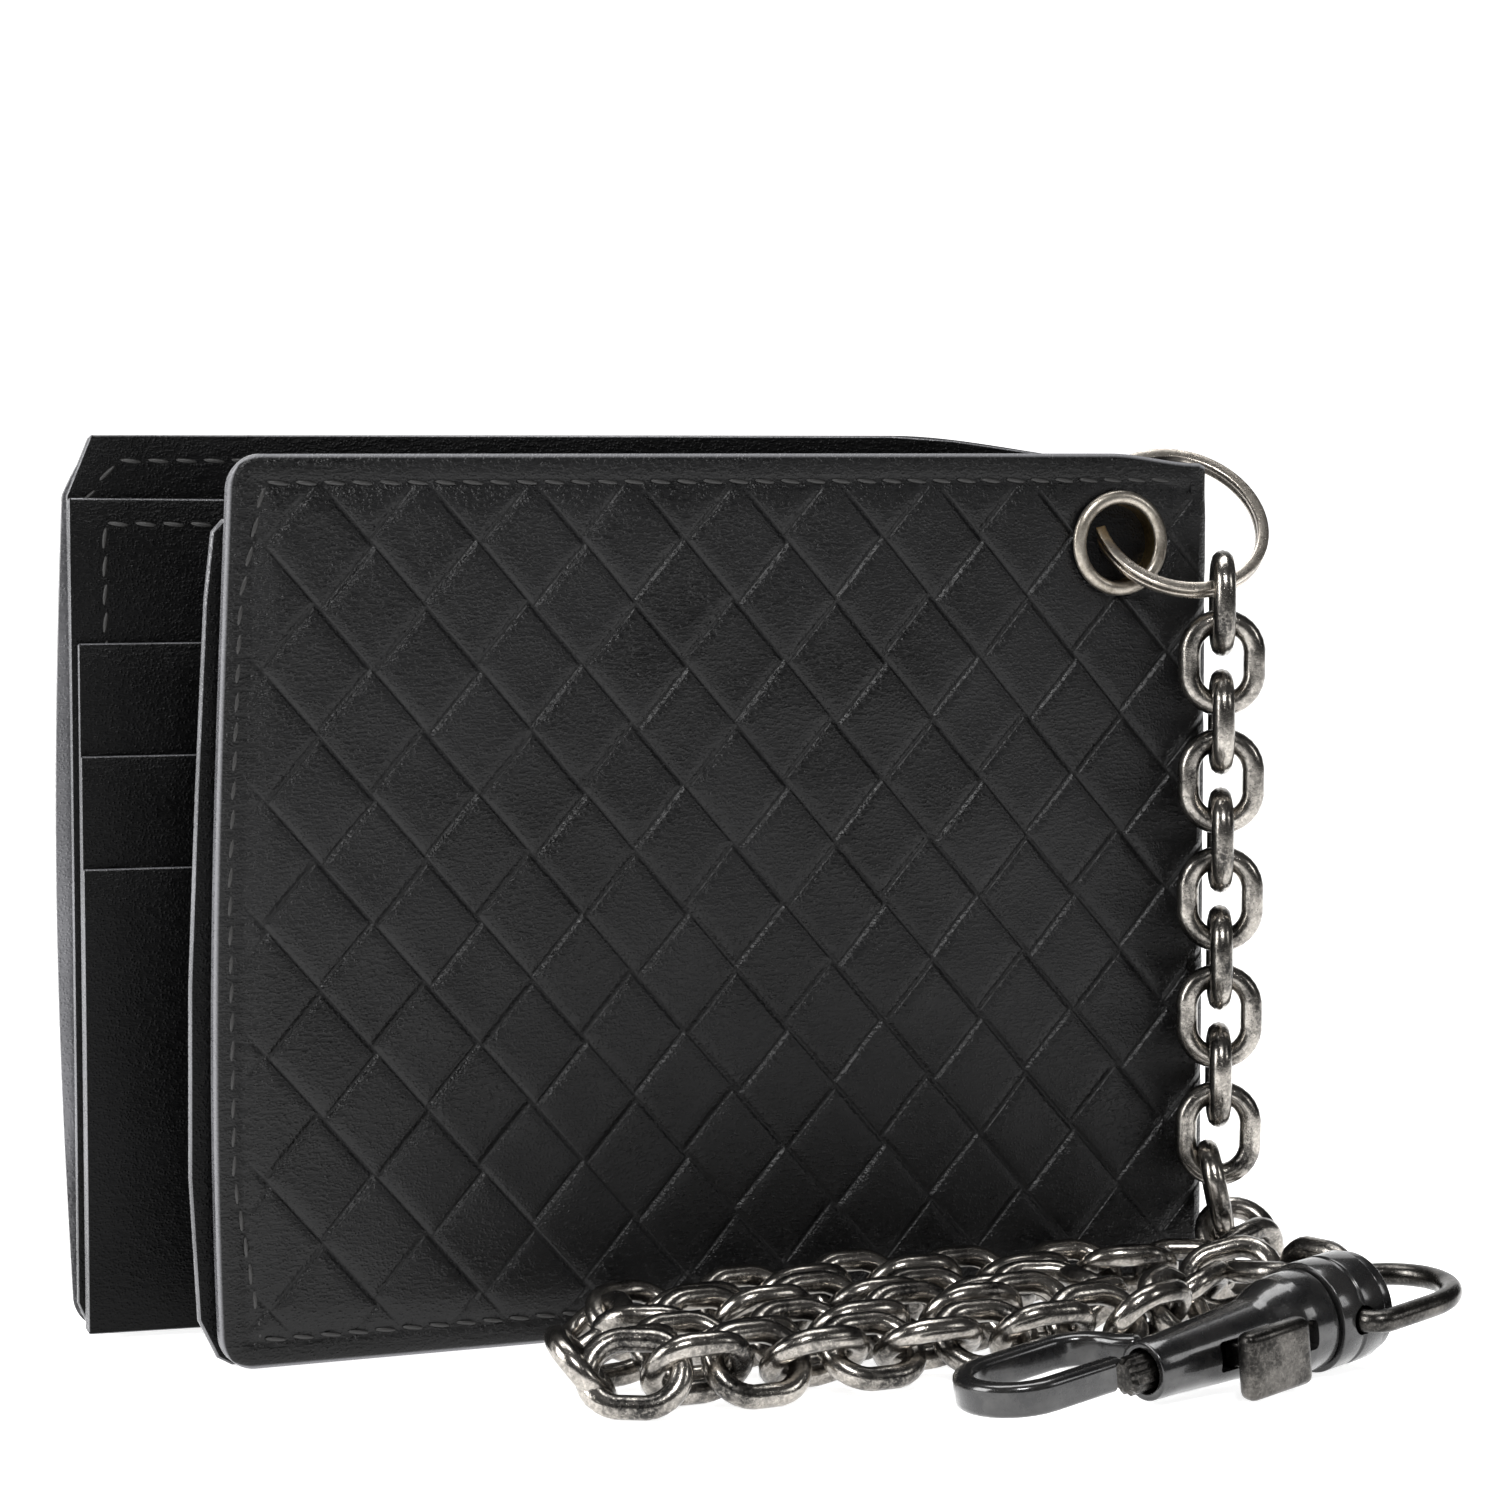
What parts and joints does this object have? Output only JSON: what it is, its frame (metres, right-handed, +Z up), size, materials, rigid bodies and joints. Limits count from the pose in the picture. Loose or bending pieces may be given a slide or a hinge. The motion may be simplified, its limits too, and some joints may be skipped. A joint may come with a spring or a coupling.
{
  "type": "chain wallet",
  "caption": "Bifold leather wallet with diagonal woven covers, card slots, a corner eyelet with a split ring, and a link chain ending in a swivel snap clasp.",
  "frame": {"origin": "middle of the fold's foot, on the surface the wallet stands on", "axes": "+X along the front half towards the fold, +Y from the front half to the rear half, +Z up"},
  "size_m": [0.1329, 0.0838, 0.097],
  "materials": {
    "woven_leather": "black strips woven on the diagonal, glossy and finely creased",
    "smooth_leather": "black, smooth, satin, finely creased",
    "lining_leather": "black, thin, satin",
    "eyelet_metal": "aged silver-grey, brass-coloured inside the barrel",
    "chain_metal": "dark antiqued steel with worn warm highlights",
    "clasp_metal": "black plated, satin, worn grey along its edges",
    "worn_metal": "dark plated steel, worn bright on the high spots"
  },
  "bodies": {
    "front_half": {"front_cover": "woven_leather", "front_lining": "lining_leather", "front_pocket": "smooth_leather", "front_slip_pocket": "smooth_leather", "spine": "woven_leather", "eyelet": "eyelet_metal", "eyelet_washer": "eyelet_metal", "chain_link_01": "chain_metal", "chain_link_02": "chain_metal", "chain_link_03": "chain_metal", "chain_link_04": "chain_metal", "chain_link_05": "chain_metal", "chain_link_06": "chain_metal", "chain_link_07": "chain_metal", "chain_link_08": "chain_metal", "chain_link_09": "chain_metal", "chain_link_10": "chain_metal", "chain_laid": "chain_metal", "chain_link_end": "chain_metal", "bow": "worn_metal"},
    "rear_half": {"rear_cover": "woven_leather", "rear_lining": "lining_leather", "card_pocket_back": "smooth_leather", "card_slot_1": "smooth_leather", "card_slot_2": "smooth_leather", "card_slot_3": "smooth_leather"},
    "split_ring": {"split_ring": "eyelet_metal"},
    "clasp_swivel": {"swivel_collar": "clasp_metal", "swivel_rivet": "clasp_metal"},
    "clasp_hook": {"hook_body": "clasp_metal", "return_spring": "chain_metal"},
    "clasp_gate": {"gate_bolt": "worn_metal", "thumb_tab": "worn_metal"}
  },
  "joints": [
    {"name": "fold", "type": "hinge", "parent": "front_half", "child": "rear_half", "pos_m": [0.0008, 0, 0], "axis": [0, 0, -1], "range_deg": [-6, 114], "deforming": ["spine"]},
    {"name": "ring_turn", "type": "hinge", "parent": "front_half", "child": "split_ring", "pos_m": [-0.0025, -0.0059, 0.0872], "axis": [-0.147, -0.7564, 0.6374], "continuous": true},
    {"name": "bow_pivot", "type": "hinge", "parent": "front_half", "child": "clasp_swivel", "pos_m": [-0.00886, -0.05019, 0.00616], "axis": [-0.2588, 0.9659, 0], "range_deg": [0, 80]},
    {"name": "swivel", "type": "hinge", "parent": "clasp_swivel", "child": "clasp_hook", "pos_m": [-0.00886, -0.05019, 0.00616], "axis": [0.9606, 0.2574, 0.1045], "continuous": true},
    {"name": "gate_slide", "type": "slide", "parent": "clasp_hook", "child": "clasp_gate", "axis": [0.9606, 0.2574, 0.1045], "range_m": [0, 0.0028], "stiffness_N_per_m": 200, "springref_m": -0.004, "deforming": ["return_spring"]}
  ]
}
